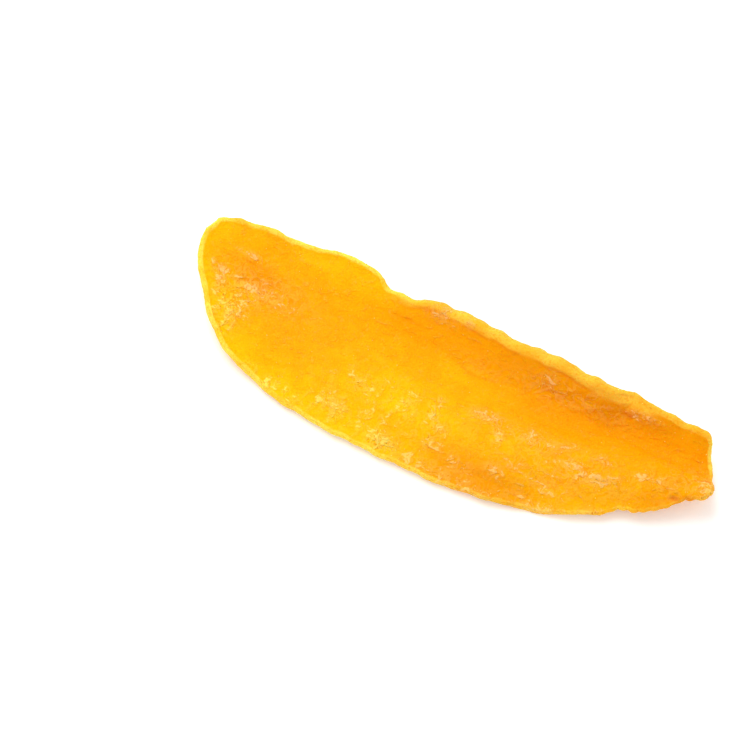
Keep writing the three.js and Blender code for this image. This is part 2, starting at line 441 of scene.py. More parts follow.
@dataclass(frozen=True)
class CurledSheet:
    """The slice's middle surface: the curled wall, the fold, the lifted ends and the dents."""

    outline: Outline
    wall_height: Stations = Stations(
        ((-64, 2.5), (-46, 6.0), (-27, 12.6), (-8, 9.0), (30, 9.6), (45, 8.9), (54, 7.2), (63, 5.4))
    )
    wall_width: Stations = Stations(
        ((-64, 7), (-40, 9.5), (-26, 10), (0, 6.2), (30, 5.8), (50, 5.4), (63, 5))
    )
    wall_limit: float = 1.15
    flap: Stations = Stations(((-60, 0.35), (-40, 0.5), (-26, 0.72), (-12, 0)))
    flap_from: float = 0.5
    rolled_x: float = 41.0
    rolled_spread: float = 7.5
    rolled_from: float = 0.7
    rolled_strength: float = 0.85
    buckle_drop: float = 0.9
    rim_lifts: tuple[Wave, ...] = (Wave(23.0, 0.18, 2.6), Wave(10.1, 0.1, 0.9))
    fold_y: Stations = Stations(
        ((-60, -24), (-10, -24), (14, -23), (34, -18.2), (48, -14.4), (64, -12.9))
    )
    fold_height: Stations = Stations(((-50, 0.3), (-6, 1.7), (24, 2.8), (44, 3.9), (60, 4.4)))
    fold_spread: Stations = Stations(((-40, 11), (6, 8.5), (34, 6.2), (50, 4.2), (62, 3.4)))
    fold_apron: Stations = Stations(((-40, 12), (6, 11), (34, 10), (50, 9), (62, 6)))
    lift_limit: float = 1.1
    nose_lift_from: float = -34.0
    nose_lift: float = 4.6
    nose_lift_run: float = 29.0
    nose_lift_power: float = 1.7
    border_lift_x: float = -49.0
    border_lift_spread: float = 15.0
    border_lift: float = 1.4
    border_lift_width: float = 9.0
    tip_lift_from: float = 44.0
    tip_lift: float = 1.0
    tip_lift_run: float = 20.0
    dents: tuple[Dent, ...] = (
        Dent(-49, -14, 0.9, 6.5),
        Dent(12, -31, 0.5, 5),
        Dent(-25, -18, -0.4, 9),
        Dent(30, -28, 1.2, 5.5),
        Dent(-36, -29, 0.4, 5),
    )

    def wall_share(self, place: Plan) -> float:
        """Returns how far up the curled wall a place lies: 0 at its foot, 1 at its rim."""
        down = self.outline.straight_line(place.x) - place.y
        return min(1.0 - down / self.wall_width.at(place.x), self.wall_limit)

    def wall(self, place: Plan) -> float:
        """Returns the height of the wall, with its flap and its rolled rim.

        Args:
            place: The place from above.

        Returns:
            The height, in millimetres.
        """
        share = self.wall_share(place)
        rolled = self.rolled_strength * bell(place.x, self.rolled_x, self.rolled_spread)
        rolled_out = self.flap.at(place.x) * hinge(share - self.flap_from)
        rolled_out += rolled * max(share - self.rolled_from, 0.0)
        uneven = waves(self.rim_lifts, place.x) - self.buckle_drop * self.outline.buckle(place.x)
        return self.wall_height.at(place.x) * (hinge(share) - rolled_out) + uneven * max(share, 0.0) ** 3

    def fold(self, place: Plan) -> float:
        """Returns the height of the fold that runs from the belly out into the tip.

        Args:
            place: The place from above.

        Returns:
            The height, in millimetres.
        """
        crest = self.fold_y.at(place.x)
        spread = (self.fold_spread if place.y > crest else self.fold_apron).at(place.x)
        return self.fold_height.at(place.x) * bell(place.y, crest, spread)

    def lifts(self, place: Plan) -> float:
        """Returns how far the nose, its lower border and the tip stand off the tray.

        Args:
            place: The place from above.

        Returns:
            The height, in millimetres.
        """
        x, y = place
        up_nose = clamp((self.nose_lift_from - x) / self.nose_lift_run, 0.0, self.lift_limit)
        up_tip = clamp((x - self.tip_lift_from) / self.tip_lift_run, 0.0, self.lift_limit)
        inside = (y - self.outline.curved_edge(x)) / self.border_lift_width
        border = bell(x, self.border_lift_x, self.border_lift_spread) * clamp(1.0 - inside, 0.0, 1.0) ** 2
        nose = self.nose_lift * up_nose**self.nose_lift_power
        return nose + self.border_lift * border + self.tip_lift * up_tip**2

    def height(self, place: Plan) -> float:
        """Returns the middle surface's height over the tray.

        Args:
            place: The place from above.

        Returns:
            The height, in millimetres.
        """
        dents = sum(
            d.depth * bell(math.hypot(place.x - d.x, place.y - d.y), 0.0, d.spread) for d in self.dents
        )
        return self.wall(place) + self.fold(place) + self.lifts(place) - dents

    def normal(self, place: Plan) -> Vector:
        """Returns the middle surface's normal.

        Args:
            place: The place from above.

        Returns:
            The normal, pointing up.
        """
        step = 0.2
        x, y = place
        slope_x = (self.height(Plan(x + step, y)) - self.height(Plan(x - step, y))) / (2.0 * step)
        slope_y = (self.height(Plan(x, y + step)) - self.height(Plan(x, y - step))) / (2.0 * step)
        return Vector((-slope_x, -slope_y, 1.0)).normalized()


class Patch(NamedTuple):
    """An oval patch of the surface: its middle, half its length and width, strength and slant."""

    x: float
    y: float
    length: float
    width: float
    strength: float
    slant: float = 0.0

    def at(self, place: Plan) -> float:
        """Returns the patch's strength at a place, fading out round its edge.

        Args:
            place: The place from above.

        Returns:
            The strength.
        """
        along = place.x - self.x
        across = place.y - self.y - self.slant * along
        return self.strength * bell(math.hypot(along / self.length, across / self.width), 0.0, 1.0)


@dataclass(frozen=True)
class DriedSkin:
    """What drying did to the surface: fibres, lumps, wrinkles, dried sugar and deeper colour; its colours
    also hold painted shade in the curl, on the drooping border, the flank and the creases, and painted
    light on the flap.
    """

    outline: Outline
    sheet: CurledSheet
    belly_thickness: float = 3.5
    edge_thickness: float = 1.5
    thickening_reach: float = 10.0
    rim_bead: float = 0.3
    bead_reach: float = 1.2
    rim_fullness: Stations = Stations(
        ((-64, 0), (-24, 0.1), (-8, 1.2), (10, 1.5), (34, 1.8), (43, 1.6), (51, 0.5))
    )
    fullness_reach: float = 6.0
    furrow_lengths: tuple[tuple[float, float, float], ...] = ((6.2, 0.09, 0.05), (4.1, 0.05, -0.08))
    furrow_breaks: Grain = Grain(15.0, 8.0, 40.0, 1.6, 0.55)
    furrow_sway: float = 0.8
    furrow_sway_run: float = 9.0
    furrow_turn_run: float = 14.0
    lumps: tuple[Grain, ...] = (Grain(7.0, 4.6, 0.0, 0.12), Grain(3.4, 2.2, 2.0, 0.1))
    fibres: Grain = Grain(6.5, 0.9, 4.0, 0.05)
    fibre_slant: float = 0.1
    crust: tuple[Grain, ...] = (Grain(1.5, 1.2, 6.0), Grain(0.8, 0.7, 8.0, 0.8))
    bare_crust: float = 0.06
    sugar_crust: float = 0.1
    wrinkles: Grain = Grain(2.6, 1.3, 10.0)
    wrinkle_warp: Grain = Grain(3.0, 2.0, 11.0, 0.8)
    wrinkle_height: float = 0.24
    wrinkled_by_sugar: float = 0.6
    underside_roughness: float = 0.3
    crease_depth: float = 0.16
    frosted: tuple[Patch, ...] = (
        Patch(41, -20.2, 4.4, 1.1, 0.8, 0.3),
        Patch(34.6, -20, 1.8, 1.1, 0.85),
        Patch(31, -17.4, 3.2, 1.1, 0.3, 0.2),
        Patch(23.5, -18.5, 4.6, 1.7, 0.65),
        Patch(40, -16.8, 2.8, 0.9, 0.6, 0.2),
        Patch(51.5, -15.6, 4.2, 1.0, 0.6, 0.15),
        Patch(42, -27.8, 2.6, 1.3, 0.9, 0.4),
        Patch(30, -24, 12, 5, 0.3),
        Patch(2, -19.5, 1.4, 1.3, 0.7),
        Patch(2, -22.6, 1.4, 1.5, 0.95, -0.5),
        Patch(5, -25, 1.8, 0.9, 0.85),
        Patch(13, -17.8, 3.6, 1.5, 0.95, 0.1),
        Patch(17, -21.2, 1.3, 1.5, 1.0, -0.6),
        Patch(-5, -22.6, 1.4, 1.4, 0.6),
        Patch(-16, -23, 2.4, 1.8, 0.5),
        Patch(4, -28.4, 1.8, 1.4, 0.7),
        Patch(12, -29.8, 2.6, 1.4, 0.6),
        Patch(19, -28, 1.6, 1.2, 0.7),
        Patch(-6, -32.8, 3.2, 1.7, 1.0),
        Patch(10, -33.8, 12, 1.8, 0.5),
        Patch(32, -31, 9, 1.6, 0.5),
        Patch(-47.5, -12.6, 5.6, 2.2, 0.7),
        Patch(-57.5, -12, 2.6, 1.0, 0.7),
        Patch(-56, -14.8, 1.4, 3.4, 0.5, -1.0),
        Patch(-51.5, -5.8, 3.6, 0.7, 0.7),
        Patch(-38, -13, 8, 5, 0.15),
        Patch(-50.5, -18.5, 3.2, 4.2, 0.6),
        Patch(43.4, -2.7, 3.2, 0.5, 0.9),
        Patch(22, -4.2, 4, 1.4, 0.5),
        Patch(-6.5, -1.2, 3.5, 1.2, 0.7),
        Patch(0.8, -0.8, 1.2, 0.6, 0.9),
        Patch(63.3, -12.5, 2.2, 2.0, 0.8),
    )
    fingered: tuple[Patch, ...] = (
        Patch(-8, -26, 16, 8, 0.35),
        Patch(-20, -31.5, 7, 3.2, 0.7),
        Patch(-36, -31.4, 7, 2.1, 0.95),
        Patch(-49.5, -23, 2.2, 3.6, 0.85),
        Patch(-54, -19, 2.0, 4.0, 0.7, -0.8),
    )
    wrinkled: tuple[Patch, ...] = (
        Patch(8, -6.4, 10, 2.0, 0.35),
        Patch(23, -5.0, 6, 2.0, 1.0),
        Patch(34, -4.4, 6, 1.8, 0.9),
        Patch(42, -20, 10, 4, 0.5),
        Patch(56, -15, 6, 4, 0.5),
        Patch(20, -24, 24, 7, 0.3),
        Patch(61, -11, 4, 3.5, 0.6),
        Patch(-49, -12, 9, 4, 0.7),
        Patch(-51, -20, 4, 7, 0.8),
        Patch(-40, -12, 9, 6, 0.3),
    )
    creased: tuple[Patch, ...] = (
        Patch(41, -3.2, 4.4, 0.5, 0.9),
        Patch(32, -4.0, 4.0, 0.4, 0.5, 0.06),
        Patch(24, -5.2, 4.4, 0.4, 0.4, 0.05),
        Patch(58.4, -16.4, 3.8, 0.7, 0.8, 0.35),
        Patch(61.8, -11.2, 1.6, 0.3, 0.8, 0.5),
        Patch(60.8, -9.4, 1.2, 0.3, 0.6, -0.4),
        Patch(-51, -7.2, 4.4, 0.4, 0.35),
        Patch(-13, -4.4, 3.6, 0.4, 0.35, 0.04),
    )
    # Spots of deeper orange, partly painted shade, as on the flank under the fold at the tip
    deepened_and_shaded: tuple[Patch, ...] = (
        Patch(-48.5, -9.5, 7, 3.6, 0.8),
        Patch(-34, -17, 14, 8, 0.5),
        Patch(57, -10.5, 7, 5, 0.8),
        Patch(61, -15.5, 4, 1.5, 0.9, 0.4),
        Patch(62, -10.5, 3, 4.5, 0.9),
    )
    gilded: tuple[Patch, ...] = (
        Patch(-8, -24, 20, 8, 0.8),
        Patch(20, -21.5, 14, 4, 0.4),
        Patch(-52.5, -19, 4, 6, 1.0),
        Patch(-46, -25, 6, 4, 0.8),
        Patch(12, -11, 12, 3.5, 0.6),
    )
    # Patches where the curl's painted shade is eased
    eased: tuple[Patch, ...] = (Patch(23, -3, 7, 1.5, 0.45), Patch(56, -4, 5, 3, 0.8))
    eye: Patch = Patch(5.7, -7.4, 4.3, 1.7, 0.3)
    eye_line: float = 0.2
    eye_lean: float = 0.5
    eye_opening: Rise = Rise(-0.3, 0.4)
    eye_sway: Grain = Grain(2.5, 2.5, 60.0, 0.25)
    crease_breaks: Grain = Grain(1.8, 1.2, 61.0, 1.5, 0.75)
    fingers: Grain = Grain(1.5, 4.5, 50.0, 1.7, 0.5)
    finger_sway: Grain = Grain(5.0, 3.0, 51.0, 1.4)
    # The curl's deeper orange, partly painted shade on the wall that faces away from the lamp, lightened by
    # painted light at its foot
    curl_foot: Stations = Stations(((0, -1.6), (15, -2.6)))
    curl_top: float = 0.1
    curl_painted_light: Swell = Swell(0.15, 0.5, 0.35)
    curl_strength: Stations = Stations(((0, 0.2), (26, 1)))
    near_rim: Rise = Rise(0.1, 0.6)
    flap_end_below: Rise = Rise(-28.0, -6.0)
    flap_end_at_rim: Rise = Rise(-20.5, -15.0)
    # Painted shade on the drooping lower border, which faces away from the lamp
    droop_shade: Swell = Swell(17.0, 1.0, 12.0)
    droop_shade_from_middle: Rise = Rise(25.0, 30.0)
    # Painted shade on the flank under the fold near the tip
    flank_shade_along: Rise = Rise(46.0, 53.0, 0.7)
    flank_shade_below_fold: Rise = Rise(2.0, 5.0)
    gold_from: float = 1.0
    gold_reach: Stations = Stations(((-45, 8), (-20, 14)))
    gold_strength: Stations = Stations(((-12, 1), (12, 0.25)))
    nose_gold: Stations = Stations(((-63, 0.5), (-55, 0)))
    # Painted light on the flap, which faces the lamp
    flap_painted_light: Swell = Swell(-28.0, 0.5, 13.0)
    flap_painted_light_up: Rise = Rise(0.2, 0.8)
    rim_band: Stations = Stations(
        (
            (-20, 1.6),
            (-8, 1.0),
            (10, 0.85),
            (28, 0.8),
            (34, 2.0),
            (38.5, 3.0),
            (42.5, 2.4),
            (45, 1.4),
            (48, 0.6),
        )
    )
    band_sway: Grain = Grain(6.0, 3.0, 32.0, 0.5)
    band_edge: Rise = Rise(-0.2, 0.7)
    band_share: tuple[float, float] = (0.25, 0.5)
    line_breaks: Grain = Grain(5.0, 5.0, 33.0, 1.4, 0.7)
    # Strength of the painted shade along the line under the thick rim's band
    line_shade: float = 0.35
    groove_depth: float = 0.08
    groove_width: float = 0.4
    thick_from: Rise = Rise(-22.0, -10.0)
    thick_to: Rise = Rise(43.0, 50.0)
    thick_above_y: float = -8.0
    tip_side_bare: Rise = Rise(40.0, 49.0)
    cut_end: Rise = Rise(57.5, 59.5)
    cut_above_y: float = -9.0
    curved_side_bare: Rise = Rise(0.0, 14.0, 0.7)
    curved_below_y: float = -20.0
    rim_reach: float = 0.4
    rim_core: float = 0.4
    nose_reach: Stations = Stations(((-9, 0.5), (-4, 0.85)))
    nose_from: Rise = Rise(26.0, 46.0)
    bare_share: float = 0.35
    thin_share: float = 0.4
    rim_ragged: Grain = Grain(2.2, 2.2, 30.0, 0.3)
    rim_breaks: Grain = Grain(4.0, 3.0, 31.0, 1.5, 0.6)

    def thickness(self, place: Plan, from_border: float) -> float:
        """Returns the slice's thickness: fullest in the belly, with a bead along the rim.

        Args:
            place: The place from above.
            from_border: Distance from the border, in millimetres.

        Returns:
            The thickness, in millimetres.
        """
        body = lerp(
            self.edge_thickness,
            self.belly_thickness,
            smoothstep(from_border, 0.0, self.thickening_reach),
        )
        bead = self.rim_bead * bell(from_border, 0.0, self.bead_reach)
        down = self.outline.straight_line(place.x) - place.y
        near_rim = clamp(1.0 - down / self.fullness_reach, 0.0, 1.0)
        return body + bead + self.rim_fullness.at(place.x) * near_rim

    def furrows(self, place: Plan, face: float) -> float:
        """Returns shallow broken furrows along the fruit's fibres, different on the two faces.

        Args:
            place: The place from above.
            face: Place through the thickness, from -1 under to 1 above.

        Returns:
            Their height, in millimetres.
        """
        x, y = place
        total = 0.0
        for length, height, drift in self.furrow_lengths:
            across = y + drift * x + self.furrow_sway * math.sin(x / self.furrow_sway_run + face)
            turn = 2.0 * math.pi * across / length + 2.0 * face + x / self.furrow_turn_run
            total += height * math.sin(turn)
        return total * self.furrow_breaks.share(x, y)

    def fine_relief(self, place: Plan, face: float, from_border: float) -> float:
        """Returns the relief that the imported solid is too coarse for.

        Args:
            place: The place from above.
            face: Place through the thickness, from -1 under to 1 above.
            from_border: Distance from the border, in millimetres along the surface.

        Returns:
            The height of lumps, fibres, wrinkles, sugar crusts and the groove inside the rim.
        """
        x, y = place
        sugar = rough = self.underside_roughness
        groove = self.groove_depth * self.band_line(place, from_border)
        if face > 0.0:
            sugar = self.frosting(place)
            rough = max(self.wrinkling(place), self.wrinkled_by_sugar * sugar)
            groove = max(groove, self.crease_depth * self.creasing(place))
        lumps = sum(layer.at(x, y, face) for layer in self.lumps)
        fibres = self.fibres.at(x, y + self.fibre_slant * x, face)
        crust = sum(layer.at(x, y, face) for layer in self.crust)
        warp = self.wrinkle_warp.at(x, y)
        wrinkles = self.wrinkle_height * rough * self.wrinkles.ridge(x + warp, y + warp, face)
        return lumps + fibres + (self.bare_crust + self.sugar_crust * sugar) * crust + wrinkles - groove

    def wrinkling(self, place: Plan) -> float:
        """Returns how wrinkled the upper face is at a place, from 0 to 1."""
        return min(sum(patch.at(place) for patch in self.wrinkled), 1.0)

    def creasing(self, place: Plan) -> float:
        """Returns how deep a crease of the upper face is.

        Args:
            place: The place from above.

        Returns:
            The depth, from 0 to 1, of the pressed creases and of the lower lid of the eye.
        """
        along = (place.x - self.eye.x) / self.eye.length
        across = (place.y - self.eye.y) / self.eye.width
        uneven = self.eye_sway.at(*place)
        eye = self.eye.strength * bell(math.hypot(along, across) + uneven, 1.0, self.eye_line)
        eye *= self.eye_opening.at(uneven - self.eye_lean * across)
        pressed = self.crease_breaks.share(*place) * sum(patch.at(place) for patch in self.creased)
        return min(max(eye, pressed), 1.0)

    def frosting(self, place: Plan) -> float:
        """Returns how much dried sugar lies on the upper face.

        Args:
            place: The place from above.

        Returns:
            The share, from 0 to 1, of the frosted patches and of those that run in fingers.
        """
        swayed = place.x + self.finger_sway.at(*place)
        fingered = sum(patch.at(place) for patch in self.fingered)
        frosted = sum(patch.at(place) for patch in self.frosted)
        return min(frosted + self.fingers.share(swayed, place.y) * fingered, 1.0)

    def deep_colour_and_shade(self, place: Plan) -> float:
        """Returns how deep the flesh's orange is on the upper face, partly its own tone and partly painted
        shade.

        Args:
            place: The place from above.

        Returns:
            The depth: 1 in the curl, 0 on the belly.
        """
        x, y = place
        share = self.sheet.wall_share(place)
        at_rim = self.near_rim.at(share)
        below, above = self.flap_end_below, self.flap_end_at_rim
        # Deeper orange up the curled wall, partly painted shade, eased by painted light near the wall's
        # foot
        curl = smoothstep(share, self.curl_foot.at(x), self.curl_top) * (1.0 - self.curl_painted_light.at(share))
        curl *= smoothstep(x, lerp(below.start, above.start, at_rim), lerp(below.end, above.end, at_rim))
        curl *= self.curl_strength.at(x) * (1.0 - max(patch.at(place) for patch in self.eased))
        # Painted shade on the drooping lower border
        droop_shade = self.droop_shade_from_middle.at(-y) * self.droop_shade.at(x)
        # Painted shade on the flank under the fold
        flank_shade = self.flank_shade_along.at(x) * self.flank_shade_below_fold.at(self.sheet.fold_y.at(x) - y)
        # Spots of deeper orange, partly painted shade
        spots = max(patch.at(place) for patch in self.deepened_and_shaded)
        return clamp(max(curl, spots, droop_shade, flank_shade), 0.0, 1.0)

    def goldness(self, place: Plan) -> float:
        """Returns how golden the flesh is on the upper face, which thins out towards its border, with
        painted light on the flap.

        Args:
            place: The place from above.

        Returns:
            The share, from 0 to 1.
        """
        x, y = place
        thin = 1.0 - smoothstep(y - self.outline.curved_edge(x), self.gold_from, self.gold_reach.at(x))
        # Painted light on the flap, which faces the lamp
        flap = self.flap_painted_light.at(x) * self.flap_painted_light_up.at(self.sheet.wall_share(place))
        gilded = max(patch.at(place) for patch in self.gilded)
        return clamp(max(thin * self.gold_strength.at(x), self.nose_gold.at(x), flap, gilded), 0.0, 1.0)

    def crease_shading(self, place: Plan, from_border: float) -> float:
        """Returns the painted shade in a crease at a place, that of the line under the rim included."""
        return max(self.line_shade * self.band_line(place, from_border), self.creasing(place))

    def in_band(self, place: Plan, from_border: float) -> float:
        """Returns how far inside the rim's pale band a place lies, in millimetres."""
        return self.rim_band.at(place.x) + self.band_sway.at(*place) - from_border

    def band_line(self, place: Plan, from_border: float) -> float:
        """Returns the strength of the broken line under the thick rim's band, from 0 to 1."""
        line = bell(self.in_band(place, from_border), 0.0, self.groove_width)
        return self.thick_rim(place) * self.line_breaks.share(*place) * line

    def thick_rim(self, place: Plan) -> float:
        """Returns 1 along the thick rim of the wall, and 0 along the rest of the border."""
        along = self.thick_from.at(place.x) - self.thick_to.at(place.x)
        return along if place.y >= self.thick_above_y else 0.0

    def rim(self, place: Plan, from_border: float) -> float:
        """Returns how much of the pale cut rim shows at a place.

        Args:
            place: The place from above.
            from_border: Distance from the border, in millimetres along the surface.

        Returns:
            The share, most at the border itself and least where the slice was torn.
        """
        x, y = place
        torn = self.tip_side_bare.at(x)
        if y > self.cut_above_y:
            torn -= self.cut_end.at(x)
        if y < self.curved_below_y:
            torn = max(torn, self.curved_side_bare.at(x))
        reach = lerp(self.rim_reach, self.nose_reach.at(y), self.nose_from.at(-x))
        ragged, uneven = self.rim_ragged.at(x, y), self.rim_breaks.share(x, y)
        thin_line = lerp(1.0, self.bare_share, torn) * lerp(self.thin_share, 1.0, uneven)
        thin_line *= 1.0 - smoothstep(from_border + ragged, self.rim_core * reach, reach)
        band = lerp(*self.band_share, uneven) * self.band_edge.at(self.in_band(place, from_border) + ragged)
        return lerp(thin_line, band, self.thick_rim(place))


class Side(Enum):
    """The side of the slab that a point lies on, as its place through the thickness."""

    UNDER = -1.0
    UPPER = 1.0


@dataclass
class MangoSlice:
    """The dried slice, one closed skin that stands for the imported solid.

    The skin is a grid of unit squares, extruded to a slab. Each point's unit coordinates say where
    it lies: along the slice, across it, and through its thickness.
    """

    outline: Outline
    sheet: CurledSheet
    skin: DriedSkin
    steps_along: int = 372
    steps_across: int = 112
    steps_through: int = 6
    crowding: float = 0.3
    rim_roundness: float = 0.28
    pressed_flat: float = 0.4
    fray: float = 0.16
    frays: Grain = Grain(1.6, 1.6, 20.0)
    fine_frays: Grain = Grain(0.7, 0.7, 23.0, 0.6)
    fray_change: float = 0.6
    underside_frost: float = 0.25
    underside_depth: float = 0.35
    name: str = "mango_slice_flesh"

    def build(self) -> bpy.types.Object:
        """Builds the slice, dresses it and sets it on the frame.

        Returns:
            The finished slice.
        """
        mesh_builder = self.slab()
        self.shape(mesh_builder)
        self.stand_on_tray(mesh_builder)
        mesh = bpy.data.meshes.new(self.name)
        mesh_builder.to_mesh(mesh)
        mesh_builder.free()
        mesh.shade_smooth()
        mesh.materials.append(CandiedFlesh().material())
        piece = bpy.data.objects.new(self.name, mesh)
        bpy.context.scene.collection.objects.link(piece)
        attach(piece, "root")
        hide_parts(SLICE_NODE)
        return piece

    def slab(self) -> bmesh.types.BMesh:
        """Builds the closed slab of unit size.

        Returns:
            The slab: X along and Y across, from 0 to 1, and Z through, from -1 to 1.
        """
        bm = bmesh.new()
        bmesh.ops.create_grid(bm, x_segments=self.steps_along, y_segments=self.steps_across, size=0.5)
        bmesh.ops.translate(bm, verts=bm.verts, vec=(0.5, 0.5, Side.UNDER.value))
        raised = bmesh.ops.extrude_face_region(bm, geom=bm.faces[:], use_keep_orig=True)["geom"]
        thickness = Side.UPPER.value - Side.UNDER.value
        lifted = [part for part in raised if isinstance(part, bmesh.types.BMVert)]
        bmesh.ops.translate(bm, verts=lifted, vec=(0.0, 0.0, thickness))
        upright = [edge for edge in bm.edges if abs(edge.verts[0].co.z - edge.verts[1].co.z) > 1.0]
        bmesh.ops.subdivide_edges(bm, edges=upright, cuts=self.steps_through - 1, use_grid_fill=True)
        bmesh.ops.recalc_face_normals(bm, faces=bm.faces)
        return bm

    def shape(self, bm: bmesh.types.BMesh) -> None:
        """Carries every point of the unit slab to its place in the slice, and notes its surface.

        Args:
            bm: The unit slab, which becomes the slice.
        """
        layers = {name: bm.verts.layers.float.new(name) for name in SURFACE_MARKS}
        for vert in bm.verts:
            u, v = self.crowded(vert.co.x, self.steps_along), self.crowded(vert.co.y, self.steps_across)
            w = round(vert.co.z, 5)
            place = self.outline.point(u, v)
            for name, value in self.surface_marks(u, v, w, place).items():
                vert[layers[name]] = value
            vert.co = self.placed(u, v, w, place)

    def crowded(self, unit: float, steps: int) -> float:
        """Returns a share in which rows crowd a little towards the border, exact at both ends."""
        share = round(unit * steps) / steps
        return lerp(share, (1.0 - math.cos(math.pi * share)) / 2.0, self.crowding)

    def placed(self, u: float, v: float, w: float, place: Plan) -> Vector:
        """Returns where one point of the slab lies in the slice, in millimetres.

        Args:
            u: Share of the way from the nose to the tip.
            v: Share of the way from the curved edge to the straight edge.
            w: Place through the thickness, from -1 under to 1 above.
            place: The same place from above.

        Returns:
            The point.
        """
        normal = self.sheet.normal(place)
        half = self.skin.thickness(place, self.outline.border_distance(u, v)) / 2.0
        point = Vector((place.x, place.y, self.sheet.height(place)))
        if 0.0 < u < 1.0 and 0.0 < v < 1.0:
            from_border = self.outline.border_distance(u, v) / normal.z
            relief = self.skin.furrows(place, w) + self.skin.fine_relief(place, w, from_border) * w
            return point + normal * (w * half + relief)
        away = self.outline.outward(u, v)
        along_surface = (away - normal * away.dot(normal)).normalized()
        frayed = self.frays.at(*place, self.fray_change * w) + self.fine_frays.at(*place, w)
        bulge = self.rim_roundness * 2.0 * half * (1.0 - abs(w) ** 3) + self.fray * frayed
        return point + normal * half * math.sin(math.radians(90.0 * w)) + along_surface * bulge

    def surface_marks(self, u: float, v: float, w: float, place: Plan) -> dict[str, float]:
        """Returns what the finish reads at a point.

        Args:
            u: Share of the way from the nose to the tip.
            v: Share of the way from the curved edge to the straight edge.
            w: Place through the thickness, from -1 under to 1 above.
            place: The same place from above.

        Returns:
            A value from 0 to 1 for each surface mark.
        """
        from_border = self.outline.border_distance(u, v) / self.sheet.normal(place).z
        under = w < 0.0
        return {
            "rim": self.skin.rim(place, from_border),
            "frost": self.underside_frost if under else self.skin.frosting(place),
            # A deeper orange, partly painted shade on the upper face
            "depth": self.underside_depth if under else self.skin.deep_colour_and_shade(place),
            # Golden towards the thin border, with painted light on the flap
            "gold": self.skin.goldness(place),
            "wrinkle": self.skin.underside_roughness if under else self.skin.wrinkling(place),
            # Painted shade in the creases and along the line under the rim's band
            "crease_shade": 0.0 if under else self.skin.crease_shading(place, from_border),
        }

    def stand_on_tray(self, bm: bmesh.types.BMesh) -> None:
        """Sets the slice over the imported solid's box, presses its lowest spots flat, makes metres.

        Args:
            bm: The slice, in millimetres.
        """
        low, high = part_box(SLICE_NODE)
        for axis in (0, 1):
            own = [vert.co[axis] for vert in bm.verts]
            shift = Vector((0.0, 0.0, 0.0))
            shift[axis] = (low[axis] + high[axis]) / (2.0 * MM) - (min(own) + max(own)) / 2.0
            bmesh.ops.translate(bm, verts=bm.verts, vec=shift)
        lowest = min(vert.co.z for vert in bm.verts)
        bmesh.ops.translate(bm, verts=bm.verts, vec=(0.0, 0.0, -lowest - self.pressed_flat))
        for vert in bm.verts:
            vert.co.z = max(vert.co.z, 0.0)
        bmesh.ops.scale(bm, verts=bm.verts, vec=(MM, MM, MM))


@dataclass
class SugarCrystals:
    """Crystals of sugar dried onto the slice, thickest on its frosted patches."""

    count: int = 300
    smallest: float = 0.12
    largest: float = 0.26
    seed: int = 7
    facing_up: float = 0.2
    bare_share: float = 0.06
    name: str = "sugar_crystals"

    def build(self, slice_piece: bpy.types.Object) -> bpy.types.Object:
        """Returns the crystals as one piece that rides on the frame.

        Args:
            slice_piece: The dried slice that they lie on.

        Returns:
            The finished piece.
        """
        draw = random.Random(self.seed)
        bm = bmesh.new()
        mesh = slice_piece.data
        frost = mesh.attributes["frost"].data
        upward = [face for face in mesh.polygons if face.normal.z > self.facing_up]
        placed = 0
        while placed < self.count:
            face = upward[draw.randrange(len(upward))]
            if draw.random() > self.bare_share + frost[face.vertices[0]].value ** 2:
                continue
            self.add_crystal(bm, draw, face.center)
            placed += 1
        piece_mesh = bpy.data.meshes.new(self.name)
        bm.to_mesh(piece_mesh)
        bm.free()
        piece_mesh.materials.append(SugarCrystal().material())
        piece = bpy.data.objects.new(self.name, piece_mesh)
        bpy.context.scene.collection.objects.link(piece)
        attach(piece, "root")
        return piece

    def add_crystal(self, bm: bmesh.types.BMesh, draw: random.Random, at: Vector) -> None:
        """Adds one crystal, turned at random and sunk halfway into the flesh.

        Args:
            bm: The mesh that takes it.
            draw: The source of its size and turn.
            at: The place on the skin, in metres.
        """
        size = draw.uniform(self.smallest, self.largest) * MM
        turn = Matrix.Rotation(draw.uniform(0.0, math.tau), 4, Vector((draw.random(), draw.random(), 1.0)))
        shape = Matrix.Diagonal((size, size * draw.uniform(0.6, 1.0), size * draw.uniform(0.6, 0.9), 1.0))
        bmesh.ops.create_cube(bm, size=1.0, matrix=Matrix.Translation(at) @ turn @ shape)


# Finishes


def linear(colour: str) -> tuple[float, float, float, float]:
    """Turns an sRGB hex colour to linear.

    Args:
        colour: The colour, as a hash and six hex digits.

    Returns:
        Its linear red, green and blue, and a full alpha.
    """
    channels = [int(colour[i : i + 2], 16) / 255.0 for i in (1, 3, 5)]
    straight = [c / 12.92 if c <= 0.04045 else ((c + 0.055) / 1.055) ** 2.4 for c in channels]
    return (*straight, 1.0)


def per_metre(size: float) -> float:
    """Returns the scale that gives a pattern grains of a size in millimetres."""
    return 1.0 / (size * MM)


def node(
    tree: bpy.types.NodeTree,
    kind: str,
    links: dict[str | int, bpy.types.NodeSocket] | None = None,
    values: dict[str | int, object] | None = None,
    **settings: object,
) -> bpy.types.Node:
    """Adds a node.

    Args:
        tree: The material's node tree.
        kind: The node's type name.
        links: What each linked input reads, by name or number.
        values: Plain values for its inputs, by name or number.
        settings: Its properties.

    Returns:
        The node.
    """
    added = tree.nodes.new(kind)
    for key, value in settings.items():
        setattr(added, key, value)
    for key, value in (values or {}).items():
        added.inputs[key].default_value = value
    for key, socket in (links or {}).items():
        tree.links.new(socket, added.inputs[key])
    return added


